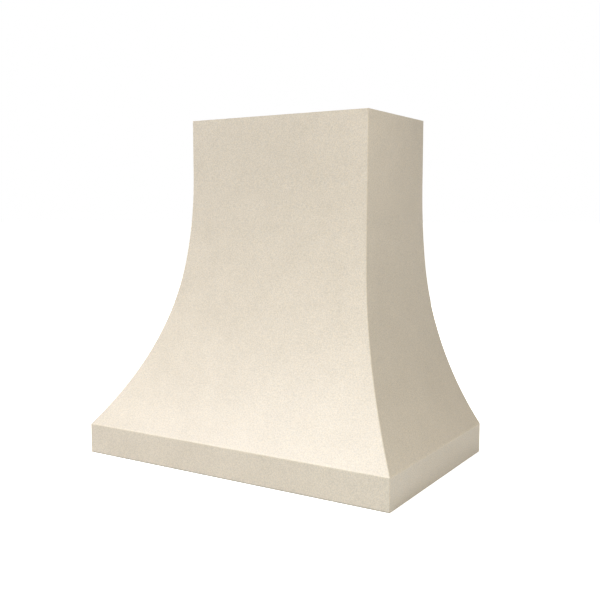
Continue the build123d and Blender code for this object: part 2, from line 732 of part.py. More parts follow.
def make_collar(parts):
    """Duct collar on the box, with the damper's seat, rod and two half-round flaps."""
    inner = collar_radius - sheet
    base = box_roof_z
    collar = ring(collar_radius + collar_flange, inner, sheet, 0, duct_y, base)
    collar += ring(collar_radius, inner, collar_height, 0, duct_y, base)
    flap_radius = inner - flap_wall_gap
    seat_z = damper_z - flap_thick / 2 - flap_seat_gap - sheet
    seat = ring(inner, flap_radius - seat_overlap, sheet, 0, duct_y, seat_z)
    seat -= span_box(-rod_radius - sheet, rod_radius + sheet, duct_y - inner, duct_y + inner,
                     seat_z, seat_z + sheet)
    cross = Pos(0, duct_y, damper_z) * Rot(90, 0, 0)
    parts["duct_collar"] = collar + seat - cross * Cylinder(rod_radius + rod_hole_gap, 3 * collar_radius)
    rod_half = sqrt(collar_radius**2 - rod_radius**2)
    parts["damper_rod"] = cross * Cylinder(rod_radius, 2 * rod_half)
    barrel_in = rod_radius + knuckle_gap
    barrel_out = barrel_in + knuckle_wall
    pitch = knuckle_length + knuckle_end_gap
    for name, side in SIDES.items():
        disc = rod(flap_radius, flap_thick, 0, duct_y, damper_z - flap_thick / 2)
        keep = span_box(*sorted((side * flap_centre_gap, side * inner)), duct_y - inner, duct_y + inner,
                        damper_z - flap_thick, damper_z + flap_thick)
        flap = disc & keep
        for row in (-1, 1):
            y0 = duct_y + row * flap_radius / 2 + (side - 1) / 2 * pitch
            tab = span_box(*sorted((0, side * (flap_centre_gap + sheet))), y0, y0 + knuckle_length,
                           damper_z - flap_thick / 2, damper_z + flap_thick / 2)
            barrel = Pos(0, y0 + knuckle_length / 2, damper_z) * Rot(90, 0, 0)
            flap = flap + tab + barrel * Cylinder(barrel_out, knuckle_length)
            flap -= barrel * Cylinder(barrel_in, knuckle_length)
        parts[f"damper_flap_{name}"] = flap


def make_junction(parts):
    """Steel box for the mains connection, with a knock-out hole towards the wall and a cover."""
    x0 = junction_from_duct - junction_width / 2
    x1, z0 = x0 + junction_width, box_roof_z
    y0, y1, z1 = duct_y - junction_depth / 2, duct_y + junction_depth / 2, box_roof_z + junction_height
    s = junction_sheet
    box = span_box(x0, x1, y0, y1, z0, z1) - span_box(x0 + s, x1, y0 + s, y1 - s, z0 + s, z1 - s)
    box -= Pos(junction_from_duct, y1 - s / 2, (z0 + z1) / 2) * Rot(90, 0, 0) * Cylinder(knockout_radius, s)
    parts["junction_box"] = box
    cover = span_box(x1, x1 + s, y0, y1, z0, z1)
    parts["junction_cover"] = cover.chamfer(s / 2, None, cover.edges().group_by(Axis.X)[-1])


def make_hood():
    """Every piece of the hood, by name."""
    parts = {}
    make_cover(parts)
    make_frame(parts)
    make_liner(parts)
    make_screws(parts)
    make_filter_stops(parts)
    for i, name in enumerate(("left", "centre", "right")):
        make_filter(parts, name, (i - 1) * filter_pitch)
    for name, side in SIDES.items():
        make_lamp(parts, name, side)
    make_controls(parts)
    make_box(parts)
    make_scroll(parts)
    make_wheel(parts)
    make_motor(parts)
    make_collar(parts)
    make_junction(parts)
    return parts


os.makedirs("parts", exist_ok=True)
for node, solid in make_hood().items():
    export_step(solid, f"parts/{node}.step")
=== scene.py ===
# %% [markdown]
# # Curved range hood
# This lesson dresses the bare model of a flared, wall-hung range hood so that it looks
# like the finished one: a cream plaster coat outside, raw plywood and softwood behind
# it, and a brushed steel insert with filters, lamps and push buttons underneath.
# The first cell loads the fixed parts. They are already in metres and in their places.

# %% Load the parts
import bpy
import json
from math import cos, pi, radians, sin
from mathutils import Matrix, Vector


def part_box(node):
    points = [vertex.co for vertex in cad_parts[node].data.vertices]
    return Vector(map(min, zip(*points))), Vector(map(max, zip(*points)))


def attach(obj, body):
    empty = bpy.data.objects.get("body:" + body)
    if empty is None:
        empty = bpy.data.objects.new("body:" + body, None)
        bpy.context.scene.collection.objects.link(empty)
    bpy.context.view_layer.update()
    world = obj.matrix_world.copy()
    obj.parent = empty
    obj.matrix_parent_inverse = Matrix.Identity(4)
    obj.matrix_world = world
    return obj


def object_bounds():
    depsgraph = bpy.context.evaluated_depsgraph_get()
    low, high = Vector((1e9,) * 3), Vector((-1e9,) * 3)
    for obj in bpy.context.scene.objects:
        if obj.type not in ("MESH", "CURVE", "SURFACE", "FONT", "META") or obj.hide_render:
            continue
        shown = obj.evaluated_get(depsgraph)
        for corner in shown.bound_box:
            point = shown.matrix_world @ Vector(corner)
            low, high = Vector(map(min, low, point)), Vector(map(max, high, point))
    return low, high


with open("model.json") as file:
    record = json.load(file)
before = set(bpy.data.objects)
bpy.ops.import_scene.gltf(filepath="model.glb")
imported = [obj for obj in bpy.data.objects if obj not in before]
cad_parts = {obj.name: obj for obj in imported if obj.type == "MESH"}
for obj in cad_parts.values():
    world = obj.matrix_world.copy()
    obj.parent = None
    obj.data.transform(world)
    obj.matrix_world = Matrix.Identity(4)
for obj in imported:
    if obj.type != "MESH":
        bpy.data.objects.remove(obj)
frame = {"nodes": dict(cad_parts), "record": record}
nodes = frame["nodes"]
cad_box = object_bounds()

# %% [markdown]
# A few lengths are needed again and again. The hood's outside sizes are read from the
# parts themselves, so that nothing here has to be fitted to them by hand.

# %% Sizes shared by the cells below
MM = 0.001
low, high = Vector(cad_box[0]), Vector(cad_box[1])
hood_width, hood_depth, hood_height = high - low
half_width = hood_width / 2
front_y, wall_y = low.y, high.y
print("hood size in mm:", [round(v / MM, 1) for v in (hood_width, hood_depth, hood_height)])

# %% [markdown]
# The camera stands where the photographer stood: to the right of the middle and at two
# thirds of the hood's height, looking slightly down, with a 50 mm lens. Because a camera
# looks along its own -Z axis, the direction is a tilt about X and then a turn about Z.

# %% Camera
camera_data = bpy.data.cameras.new("camera")
camera_data.lens = 50
camera_data.sensor_width = 36
camera = bpy.data.objects.new("camera", camera_data)
bpy.context.scene.collection.objects.link(camera)
camera_turn, camera_tilt = radians(31.808), radians(5.842)
camera.location = (1.2265, -2.1863 + wall_y, 0.6546)
camera.rotation_euler = (pi / 2 - camera_tilt, 0, camera_turn)
bpy.context.scene.camera = camera
print("camera at", tuple(round(v, 3) for v in camera.location))

# %% [markdown]
# The hood stands on a plain pale floor that is so wide that its edge isn't made out. A
# backdrop could close the view behind it, but would hide the hood from the back, so the
# room's own white makes the background. In use the hood hangs on a wall and is lit from
# below too, so the floor is open under it: its mesh is a ring of four strips.

# %% Floor
def link(name, mesh, material=None):
    """Put a mesh into the scene as an object with one material."""
    piece = bpy.data.objects.new(name, mesh)
    bpy.context.scene.collection.objects.link(piece)
    if material:
        piece.data.materials.append(material)
    return piece


def mesh_from(name, points, faces):
    """A smoothly shaded mesh from corner points and faces."""
    mesh = bpy.data.meshes.new(name)
    mesh.from_pydata([tuple(p) for p in points], [], faces)
    mesh.validate()
    for face in mesh.polygons:
        face.use_smooth = True
    return mesh


floor_reach, hidden_rim = 60.0, 1 * MM
middle_y = (front_y + wall_y) / 2
half_open_x, half_open_y = half_width - hidden_rim, hood_depth / 2 - hidden_rim
four_ways = ((-1, -1), (1, -1), (1, 1), (-1, 1))
corners = [(x * floor_reach, y * floor_reach, 0) for x, y in four_ways]
corners += [(x * half_open_x, middle_y + y * half_open_y, 0) for x, y in four_ways]
strips = [(side, (side + 1) % 4, (side + 1) % 4 + 4, side + 4) for side in range(4)]
studio = link("studio_floor", mesh_from("studio_floor", corners, strips))
print("floor is", 2 * floor_reach, "m wide")

# %% [markdown]
# Node materials can be built by hand in the shader editor. In a script they are easier to
# read when small helpers add the nodes: `new_material` starts a material with its shader,
# `put` adds a node and sets its values, and `wire` joins two sockets. Numbers that are the
# same all over a surface are set on the shader. Noise is laid out in metres on the hood.

# %% Helpers for nodes
def new_material(name, **values):
    """A material with one principled shader, its plain values set by socket name."""
    material = bpy.data.materials.new(name)
    material.use_nodes = True
    tree = material.node_tree
    shader = tree.nodes["Principled BSDF"]
    for socket, value in values.items():
        shader.inputs[socket.replace("_", " ")].default_value = value
    return material, tree, shader


def put(tree, kind, inputs=None, **settings):
    """Add a node; inputs sets sockets by name or number, settings sets its properties."""
    node = tree.nodes.new(kind)
    for key, value in settings.items():
        setattr(node, key, value)
    for key, value in (inputs or {}).items():
        node.inputs[key].default_value = value
    return node


def wire(tree, source, target):
    """Join an output socket to an input socket."""
    tree.links.new(source, target)


def place_coordinates(tree, scale=(1, 1, 1)):
    """Coordinates fixed to the hood, in metres, stretched by scale."""
    source = put(tree, "ShaderNodeTexCoord")
    mapping = put(tree, "ShaderNodeMapping", {"Scale": scale})
    wire(tree, source.outputs["Object"], mapping.inputs["Vector"])
    return mapping.outputs["Vector"]


def noise(tree, vector, scale, detail=2.0, roughness=0.5):
    """A noise texture; its size is about one over scale, in metres."""
    settings = {"Scale": scale, "Detail": detail, "Roughness": roughness}
    node = put(tree, "ShaderNodeTexNoise", settings)
    wire(tree, vector, node.inputs["Vector"])
    return node.outputs["Fac"]


print("node helpers ready; a noise of scale 40 has clouds of about", 1000 / 40, "mm")

# %% [markdown]
# A noise gives one grey value at each point, and these helpers turn it into something that
# is seen. `spread` raises its contrast, `blend_colours` and `tint` make colour of it, and
# `bumps` makes relief. They take sockets and give one back, so that they can be chained.
# Colours are written as on a screen, whose numbers aren't in proportion to light, and
# `srgb` turns them into those that shaders use.

# %% Helpers for colour and relief
def spread(tree, value, low, high, to_low=0.0, to_high=1.0):
    """Stretch the part of a value between low and high over a new range."""
    node = put(tree, "ShaderNodeMapRange",
               {"From Min": low, "From Max": high, "To Min": to_low, "To Max": to_high})
    wire(tree, value, node.inputs["Value"])
    return node.outputs["Result"]


def blend_colours(tree, value, first, second):
    """A colour between two, chosen by a value from 0 to 1."""
    node = put(tree, "ShaderNodeMix", data_type="RGBA")
    node.inputs["A"].default_value = (*first, 1)
    node.inputs["B"].default_value = (*second, 1)
    wire(tree, value, node.inputs["Factor"])
    return node.outputs["Result"]


def tint(tree, colour, value, first, second):
    """Multiply a colour by another that lies between two, chosen by a value."""
    shade = blend_colours(tree, value, first, second)
    node = put(tree, "ShaderNodeMix", {"Factor": 1.0}, data_type="RGBA", blend_type="MULTIPLY")
    wire(tree, colour, node.inputs["A"])
    wire(tree, shade, node.inputs["B"])
    return node.outputs["Result"]


def bumps(tree, shader, *layers):
    """Raise the surface by one or more (height value, depth in metres) layers."""
    normal = None
    for height, depth in layers:
        node = put(tree, "ShaderNodeBump", {"Strength": 1.0, "Distance": depth})
        wire(tree, height, node.inputs["Height"])
        if normal:
            wire(tree, normal, node.inputs["Normal"])
        normal = node.outputs["Normal"]
    wire(tree, normal, shader.inputs["Normal"])


def srgb(red, green, blue):
    """A screen colour from 0 to 255 as the linear colour that shaders use."""
    shares = [v / 255 for v in (red, green, blue)]
    return tuple(v / 12.92 if v <= 0.04045 else ((v + 0.055) / 1.055) ** 2.4 for v in shares)


print("a screen grey of 128 sends back", round(srgb(128, 128, 128)[0], 2), "of the light")

# %% [markdown]
# The floor's paper should look white without sending more light up to the hood. The Light
# Path node tells apart what is seen, directly or in steel and glass, from light that falls
# on something, so the paper glows for the first alone. The hood does shade it, but beside
# so strong a glow the shade isn't seen: a weaker one would show it, and with it a grey band
# where the floor runs out of the lamps' reach. The paper has only an upper side: from below
# it is clear, so that the underside can be looked at.

# %% Floor material
def seen_rays(tree):
    """1 for what is seen directly, in a mirror or through glass, 0 for light that falls."""
    path = put(tree, "ShaderNodeLightPath")
    result = path.outputs["Is Camera Ray"]
    for name in ("Is Glossy Ray", "Is Transmission Ray"):
        node = put(tree, "ShaderNodeMath", operation="MAXIMUM")
        wire(tree, result, node.inputs[0])
        wire(tree, path.outputs[name], node.inputs[1])
        result = node.outputs["Value"]
    return result


floor_grey, floor_glow = 0.8, 0.85
floor_material, tree, shader = new_material("floor_paper", Roughness=0.95, Specular_IOR_Level=0.1)
paper = noise(tree, place_coordinates(tree), 3.0, 3.0)
dull, clean = (floor_grey * 0.99,) * 3, (floor_grey * 1.01,) * 3
wire(tree, blend_colours(tree, paper, dull, clean), shader.inputs["Base Color"])
shader.inputs["Emission Color"].default_value = (1, 1, 1, 1)
glow = put(tree, "ShaderNodeMath", {1: floor_glow}, operation="MULTIPLY")
wire(tree, seen_rays(tree), glow.inputs[0])
wire(tree, glow.outputs["Value"], shader.inputs["Emission Strength"])
under_side = put(tree, "ShaderNodeNewGeometry").outputs["Backfacing"]
clear = put(tree, "ShaderNodeBsdfTransparent")
one_sided = put(tree, "ShaderNodeMixShader")
wire(tree, under_side, one_sided.inputs["Fac"])
wire(tree, shader.outputs["BSDF"], one_sided.inputs[1])
wire(tree, clear.outputs["BSDF"], one_sided.inputs[2])
wire(tree, one_sided.outputs["Shader"], tree.nodes["Material Output"].inputs["Surface"])
studio.data.materials.append(floor_material)
print("floor sends back", floor_grey, "of the light and glows by", floor_glow)

# %% [markdown]
# The room is Blender's world. As with the floor, it is white where it is seen. For light
# that falls on the hood it is dim and warm instead, like light that has come back from
# wood and paint, and fills the shadows without making new ones.

# %% World
room_light, room_colour = 0.25, (1, 0.95, 0.8, 1)
world = bpy.data.worlds.new("studio_room")
bpy.context.scene.world = world
world.use_nodes = True
tree = world.node_tree
plain = tree.nodes["Background"]
plain.inputs["Color"].default_value = room_colour
plain.inputs["Strength"].default_value = room_light
white = put(tree, "ShaderNodeBackground", {"Color": (1, 1, 1, 1), "Strength": 1.0})
choice = put(tree, "ShaderNodeMixShader")
wire(tree, seen_rays(tree), choice.inputs["Fac"])
wire(tree, plain.outputs["Background"], choice.inputs[1])
wire(tree, white.outputs["Background"], choice.inputs[2])
wire(tree, choice.outputs["Shader"], tree.nodes["World Output"].inputs["Surface"])
print("world light", room_light)

# %% [markdown]
# One large soft lamp hangs high on the left in front. It reaches the front and, most of
# all, the foot of the flare, which looks up. It is wide, so that its reflection in the
# coat stays a soft sheen. A lamp overhead and a small one on the right light the side, one
# low on the right lifts the corner nearest to the camera, and one behind on the left keeps
# the open back readable. An area lamp's brightness at a distance follows from its power,
# so the power is worked out from the share of full white that it should add.

# %% Lamps of the studio
def soft_lamp(name, direction, distance, aim, size, share, colour):
    """A square area lamp that adds a share of full white to a surface that faces it."""
    data = bpy.data.lights.new(name, "AREA")
    data.color = colour
    data.shape = "SQUARE"
    data.size = size
    data.energy = share * pi**2 * distance**2
    lamp = bpy.data.objects.new(name, data)
    bpy.context.scene.collection.objects.link(lamp)
    towards = Vector(direction).normalized()
    lamp.location = Vector(aim) + distance * towards
    lamp.rotation_euler = (-towards).to_track_quat("-Z", "Y").to_euler()
    return lamp


middle, right_foot, near_corner = (0, 0, 0.35), (0.4, -0.2, 0.1), (0.2, -0.1, 0.3)
lamps = (
    soft_lamp("key_lamp", (-0.44, -0.36, 0.82), 5.0, middle, 3.6, 0.875, (0.96, 1, 1.11)),
    soft_lamp("top_lamp", (0, 0, 1), 5.0, middle, 3.0, 0.28, (1.12, 1, 0.8)),
    soft_lamp("side_lamp", (0.35, -0.05, 1.0), 1.061, right_foot, 0.4, 0.13, (1.03, 1, 0.98)),
    soft_lamp("corner_lamp", (0.5, -0.8, 0.0), 0.943, near_corner, 0.4, 0.06, (0.78, 1, 1.1)),
    soft_lamp("back_lamp", (-0.45, 0.88, 0.12), 4.0, middle, 1.2, 0.4, (1, 1, 0.9)),
)
for lamp in lamps:
    print(lamp.name, round(lamp.data.energy, 1), "W")

# %% [markdown]
# ## Comparing numbers in nodes
# Where a finish changes from place to place, nodes have to answer small questions, such
# as whether a face looks up or how near a point is to an edge. A math node does one step
# of arithmetic, so a few helpers that each add one or two of them keep that readable.

# %% Arithmetic helpers
def math_step(tree, operation, first, second=None, clamp=False):
    """One step of arithmetic; each side is a socket or a plain number."""
    node = put(tree, "ShaderNodeMath", operation=operation, use_clamp=clamp)
    for socket, value in zip(node.inputs, (first, second)):
        if isinstance(value, (int, float)):
            socket.default_value = value
        elif value is not None:
            wire(tree, value, socket)
    return node.outputs["Value"]


def parts_of(tree, vector):
    """The X, Y and Z of a vector."""
    split = put(tree, "ShaderNodeSeparateXYZ")
    wire(tree, vector, split.inputs["Vector"])
    return split.outputs["X"], split.outputs["Y"], split.outputs["Z"]


def near(tree, value, place, reach):
    """1 where a value is at a place, fading to 0 at the reach to either side."""
    away = math_step(tree, "ABSOLUTE", math_step(tree, "SUBTRACT", value, place))
    return math_step(tree, "SUBTRACT", 1.0, math_step(tree, "DIVIDE", away, reach), clamp=True)


print("arithmetic helpers ready")

# %% [markdown]
# ## Raw plywood
# Where the coat stops, the board shows. A sheet's face is one thin layer of wood with
# long soft streaks, while a cut edge shows the layers, which cross each other in turn and
# so are light and dark. The layers of a flat panel are slices of space across its
# thickness, and then any cut through the panel shows them by itself.

# %% Raw plywood
ply_thickness = 1.9 * MM
across_grain, with_grain = 60.0, 4.0


def wood_streaks(tree, along_grain):
    """Noise that is long in the direction of the grain."""
    stretch = tuple(with_grain if axis == along_grain else across_grain for axis in "XYZ")
    return noise(tree, place_coordinates(tree, stretch), 3.0, 5.0, 0.6)


def veneer(tree, streaks):
    """Colour of a sheet's face."""
    return blend_colours(tree, streaks, srgb(229, 204, 166), srgb(206, 175, 131))


def cut_layer(tree, streaks):
    """Colour of a layer that is cut across its grain."""
    return blend_colours(tree, streaks, srgb(192, 157, 115), srgb(168, 132, 93))


def choose(tree, share, first, second):
    """The first colour where the share is 0, the second where it is 1."""
    both = put(tree, "ShaderNodeMix", data_type="RGBA")
    wire(tree, share, both.inputs["Factor"])
    wire(tree, first, both.inputs["A"])
    wire(tree, second, both.inputs["B"])
    return both.outputs["Result"]


def ply_layers(tree, across, along_grain):
    """Colour of a plywood panel with layers across its thickness."""
    place = parts_of(tree, place_coordinates(tree))["XYZ".index(across)]
    layer = math_step(tree, "FLOORED_MODULO", math_step(tree, "DIVIDE", place, ply_thickness), 2.0)
    streaks = wood_streaks(tree, along_grain)
    crossed = spread(tree, layer, 0.92, 1.02)
    return choose(tree, crossed, veneer(tree, streaks), cut_layer(tree, streaks)), streaks


print("a board of 18 mm has", round(18 * MM / ply_thickness), "layers")

# %% [markdown]
# ## The cream coat
# The cover is thin board that was bent to the curve and then coated. The coat's colour
# isn't the same everywhere: a painted highlight lightens the rounded edges and the band's
# upper edge, and a painted shade darkens the front's foot where it meets the floor. Behind,
# on top and inside, the coat stops. The surface direction and the height tell all these
# places apart, so one material covers a whole sheet and nothing has to be painted by hand.
# The first three numbers say how much of a face's direction, from 0 to 1, has to point one
# way before the face counts.

# %% Where the coat gets a painted highlight, a painted shade or stops
leaning, squarely, flat_on = 0.3, 0.95, 0.97
# Heights of the painted shade along the front's foot and of the painted highlight along the band's
# upper edge.
shade_height, highlight_reach = 4.0 * MM, 4.5 * MM


def face_places(tree):
    """Sockets for where a point is and which way its surface looks."""
    source = put(tree, "ShaderNodeTexCoord")
    return parts_of(tree, source.outputs["Object"]), parts_of(tree, source.outputs["Normal"])


def bare_wood(tree, place, facing):
    """1 on faces that look up, to the wall or into the hood, and 0 on coated ones."""
    outward = math_step(tree, "MULTIPLY", math_step(tree, "SIGN", place[0]), facing[0])
    inside = math_step(tree, "LESS_THAN", outward, -leaning)
    behind = math_step(tree, "GREATER_THAN", facing[1], leaning)
    above = math_step(tree, "GREATER_THAN", facing[2], squarely)
    return math_step(tree, "MAXIMUM", inside, math_step(tree, "MAXIMUM", behind, above))


def sawn_edge(tree, place, facing):
    """1 on the narrow sawn edges: those that lie against the wall and those on top."""
    to_wall = math_step(tree, "MULTIPLY", math_step(tree, "GREATER_THAN", facing[1], flat_on),
                        math_step(tree, "GREATER_THAN", place[1], wall_y - 1 * MM))
    above = math_step(tree, "GREATER_THAN", facing[2], squarely)
    return math_step(tree, "MAXIMUM", to_wall, above)


def edge_highlight(tree, place, facing):
    """1 on the rounded corners and along the band's upper edge, which get a painted highlight."""
    sideways = math_step(tree, "ABSOLUTE", facing[0])
    forwards = math_step(tree, "ABSOLUTE", facing[1])
    corner = spread(tree, math_step(tree, "MINIMUM", sideways, forwards), 0.2, 0.5)
    return math_step(tree, "MAXIMUM", corner, near(tree, place[2], band_top, highlight_reach))


band_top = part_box("apron_front")[1][2]
print("band's upper edge at", round(band_top, 4), "m")

# %% [markdown]
# The coat itself has a low sheen, with faint clouds as wide as a hand where the roller
# overlapped and a fine speckle a few millimetres across, a little warmer here and cooler
# there. A photograph of plaster would repeat over such a large surface. Noise at several
# scales doesn't, and the same noise serves for the colour and for the height.

# %% Plaster coat
coat_colour = srgb(223, 212, 194)


def plaster_coat():
    """Cream coat outside, raw plywood on the hidden faces."""
    material, tree, shader = new_material("cream_coat", Roughness=0.55)
    place = place_coordinates(tree)
    clouds = noise(tree, place, 12.0, 3.0, 0.5)
    patches = noise(tree, place, 38.0, 2.0, 0.5)
    speckle = noise(tree, place, 330.0, 2.0, 0.7)
    warmth = noise(tree, place, 290.0, 1.0)
    base = put(tree, "ShaderNodeRGB")
    base.outputs[0].default_value = (*coat_colour, 1)
    colour = base.outputs[0]
    for value, low_end, high_end, first, second in (
            (clouds, 0.3, 0.7, (0.974, 0.972, 0.966), (1.02, 1.02, 1.02)),
            (patches, 0.3, 0.7, (0.986, 0.986, 0.984), (1.012, 1.012, 1.012)),
            (speckle, 0.32, 0.68, (0.87, 0.87, 0.86), (1.12, 1.12, 1.12)),
            (warmth, 0.3, 0.7, (0.985, 1.0, 1.03), (1.015, 1.0, 0.97))):
        colour = tint(tree, colour, spread(tree, value, low_end, high_end), first, second)
    where, facing = face_places(tree)
    # Painted highlight: the rounded edges and the band's upper edge are made lighter, as if they
    # caught the light.
    colour = tint(tree, colour, edge_highlight(tree, where, facing), (1, 1, 1), (1.1, 1.1, 1.09))
    # Painted shade: the lowest few millimetres of the front are darkened, as a contact shadow
    # where it stands on the floor.
    in_front = math_step(tree, "LESS_THAN", facing[1], -leaning)
    painted_foot_shade = math_step(tree, "MULTIPLY", near(tree, where[2], 0.0, shade_height), in_front)
    colour = tint(tree, colour, painted_foot_shade, (1, 1, 1), (0.48, 0.47, 0.45))
    streaks = wood_streaks(tree, "Z")
    sawn = sawn_edge(tree, where, facing)
    raw = choose(tree, sawn, veneer(tree, streaks), cut_layer(tree, streaks))
    colour = choose(tree, bare_wood(tree, where, facing), colour, raw)
    wire(tree, colour, shader.inputs["Base Color"])
    wire(tree, spread(tree, patches, 0.3, 0.7, 0.34, 0.4), shader.inputs["Roughness"])
    bumps(tree, shader, (clouds, 0.8 * MM), (speckle, 0.25 * MM))
    return material


finishes = {"plaster_coat": plaster_coat()}
print("coat ready")

# %% [markdown]
# ## Wood inside
# The rear board, the ribs and the top are plywood. They lie in three directions, and the
# layers and the grain have to follow, so there are three materials from one function. A
# cloudy tint a hand wide keeps large panels from looking printed, and the streaks that
# give the colour also make the relief, so that the two agree.

# %% Plywood for three directions
def plywood(name, across, along_grain):
    """Raw plywood for a panel of a given thickness direction."""
    material, tree, shader = new_material(name, Roughness=0.62, Specular_IOR_Level=0.35)
    colour, streaks = ply_layers(tree, across, along_grain)
    clouds = noise(tree, place_coordinates(tree), 9.0, 2.0)
    colour = tint(tree, colour, clouds, (0.93, 0.92, 0.9), (1.05, 1.05, 1.05))
    wire(tree, colour, shader.inputs["Base Color"])
    wire(tree, spread(tree, streaks, 0.3, 0.7, 0.55, 0.72), shader.inputs["Roughness"])
    bumps(tree, shader, (streaks, 0.25 * MM))
    return material


ply_by_node = {"back_frame": plywood("plywood_upright", "Y", "Z"),
               "top_panel": plywood("plywood_flat", "Z", "X")}
ply_by_node["front_rib_left"] = ply_by_node["front_rib_right"] = plywood("plywood_rib", "X", "Z")
print("plywood parts:", sorted(ply_by_node))

# %% [markdown]
# The rails and battens are planed softwood. Growth rings are cylinders around the heart of
# the tree, so rings about an axis beside the board and along it look right on every side,
# while a flat picture of wood breaks off at the corners. A slow noise bends that axis,
# because no tree is straight, and another one, drawn out along the board, gives fibres.
# The upright battens are thin and cut from clear wood, so they show no rings.

# %% Softwood
def softwood(name, along, ring_share=1.0):
    """Planed softwood; its growth rings run around a wavy axis along the board."""
    material, tree, shader = new_material(name, Roughness=0.55, Specular_IOR_Level=0.35)
    bend = put(tree, "ShaderNodeTexNoise", {"Scale": 2.2, "Detail": 2.0})
    wire(tree, place_coordinates(tree), bend.inputs["Vector"])
    heart = put(tree, "ShaderNodeVectorMath", {1: (0.07, 0.07, 0.07), 2: (0.1, 0.17, 0.12)},
                operation="MULTIPLY_ADD")
    wire(tree, bend.outputs["Color"], heart.inputs[0])
    outwards = put(tree, "ShaderNodeVectorMath", operation="ADD")
    wire(tree, place_coordinates(tree), outwards.inputs[0])
    wire(tree, heart.outputs["Vector"], outwards.inputs[1])
    crosswise = tuple(0.0 if axis == along else 1.0 for axis in "XYZ")
    flat = put(tree, "ShaderNodeVectorMath", {1: crosswise}, operation="MULTIPLY")
    wire(tree, outwards.outputs["Vector"], flat.inputs[0])
    age = put(tree, "ShaderNodeVectorMath", operation="LENGTH")
    wire(tree, flat.outputs["Vector"], age.inputs[0])
    rings = put(tree, "ShaderNodeTexNoise", {"Scale": 240.0, "Detail": 2.0, "Roughness": 0.45},
                noise_dimensions="1D")
    wire(tree, age.outputs["Value"], rings.inputs["W"])
    ring = rings.outputs["Fac"]
    early, dark = srgb(231, 206, 163), srgb(209, 170, 118)
    late = tuple(a + (b - a) * ring_share for a, b in zip(early, dark))
    colour = blend_colours(tree, spread(tree, ring, 0.42, 0.68), early, late)
    long_scale = tuple(0.035 if axis == along else 1.0 for axis in "XYZ")
    drawn_out = place_coordinates(tree, long_scale)
    stripes = noise(tree, drawn_out, 14.0, 3.0)
    colour = tint(tree, colour, stripes, (0.93, 0.92, 0.9), (1.06, 1.06, 1.05))
    fibres = noise(tree, drawn_out, 900.0, 3.0, 0.7)
    colour = tint(tree, colour, fibres, (0.9, 0.89, 0.87), (1.07, 1.07, 1.07))
    wire(tree, colour, shader.inputs["Base Color"])
    wire(tree, spread(tree, ring, 0.3, 0.7, 0.62, 0.52), shader.inputs["Roughness"])
    bumps(tree, shader, (fibres, 0.05 * MM))
    return material


wood_across = softwood("softwood_across", "X")
wood_deep = softwood("softwood_deep", "Y")
wood_upright = softwood("softwood_upright", "Z", ring_share=0.0)
print("softwoods:", [wood.name for wood in (wood_across, wood_deep, wood_upright)])

# %% [markdown]
# ## Metals
# The insert is brushed stainless steel, which a belt has ground in one direction. That
# leaves very long, very thin streaks. The shader's own anisotropy could blur the
# reflection sideways, but the streaks wouldn't be there close up, so noise that is drawn
# out along the sheet makes them in the roughness and a little in the height.

# %% Brushed steel
def brushed_steel(name, stretch):
    """Stainless steel with streaks along the axis whose stretch is small."""
    material, tree, shader = new_material(name, Metallic=1.0, Roughness=0.3)
    streaks = noise(tree, place_coordinates(tree, stretch), 900.0, 3.0, 0.6)
    smears = noise(tree, place_coordinates(tree), 11.0, 3.0)
    colour = blend_colours(tree, streaks, srgb(190, 189, 186), srgb(216, 215, 212))
    colour = tint(tree, colour, smears, (0.95, 0.95, 0.95), (1.03, 1.03, 1.03))
    wire(tree, colour, shader.inputs["Base Color"])
    wire(tree, spread(tree, streaks, 0.3, 0.7, 0.26, 0.4), shader.inputs["Roughness"])
    bumps(tree, shader, (streaks, 0.02 * MM))
    return material


stainless_x = brushed_steel("stainless_across", (0.012, 1.0, 1.0))
stainless_y = brushed_steel("stainless_deep", (1.0, 0.012, 1.0))
print("streaks are", round(1 / 0.012), "times as long as they are thin")

# %% [markdown]
# The blower box, its scroll and the duct collar are galvanised. As the zinc sets on the
# steel it grows crystals, flat patches of slightly different grey and gloss. Ordinary
# noise has soft clouds instead, so a Voronoi pattern divides the sheet into cells, and the
# random colour that it gives each cell supplies one value for grey and one for gloss.

# %% Galvanised sheet
def galvanised():
    """Zinc-coated sheet with crystals 8 to 20 mm across."""
    material, tree, shader = new_material("galvanised_sheet", Metallic=1.0, Roughness=0.42)
    place = place_coordinates(tree)
    crystals = put(tree, "ShaderNodeTexVoronoi", {"Scale": 85.0, "Randomness": 1.0})
    wire(tree, place, crystals.inputs["Vector"])
    value = put(tree, "ShaderNodeSeparateColor")
    wire(tree, crystals.outputs["Color"], value.inputs["Color"])
    grain = noise(tree, place, 260.0, 3.0)
    colour = blend_colours(tree, value.outputs["Red"], srgb(176, 181, 184), srgb(206, 210, 212))
    colour = tint(tree, colour, grain, (0.94, 0.94, 0.94), (1.04, 1.04, 1.04))
    wire(tree, colour, shader.inputs["Base Color"])
    roughness = spread(tree, value.outputs["Green"], 0.0, 1.0, 0.34, 0.52)
    wire(tree, roughness, shader.inputs["Roughness"])
    bumps(tree, shader, (grain, 0.04 * MM))
    return material


finishes["galvanised"] = galvanised()
print("galvanised sheet ready")

# %% [markdown]
# The other metals differ in colour, gloss and grain alone: the ground shaft and rod, the
# plain aluminium of the dampers and lamp cans, the polished trim round lamps and buttons,
# and the nickel on the magnets. One function makes them all. Its last two numbers are the
# width and the depth of the grain in millimetres.

# %% Plain metals
def plain_metal(name, colour, roughness, grain_size, grain_depth):
    """A metal with fine grain in its roughness and height."""
    material, tree, shader = new_material(name, Metallic=1.0, Roughness=roughness)
    place = place_coordinates(tree)
    grain = noise(tree, place, 1 / grain_size, 3.0)
    smears = noise(tree, place, 25.0, 2.0)
    dark = tuple(0.9 * v for v in colour)
    wire(tree, blend_colours(tree, grain, dark, colour), shader.inputs["Base Color"])
    uneven = spread(tree, smears, 0.3, 0.7, roughness * 0.75, roughness * 1.3)
    wire(tree, uneven, shader.inputs["Roughness"])
    bumps(tree, shader, (grain, grain_depth))
    return material


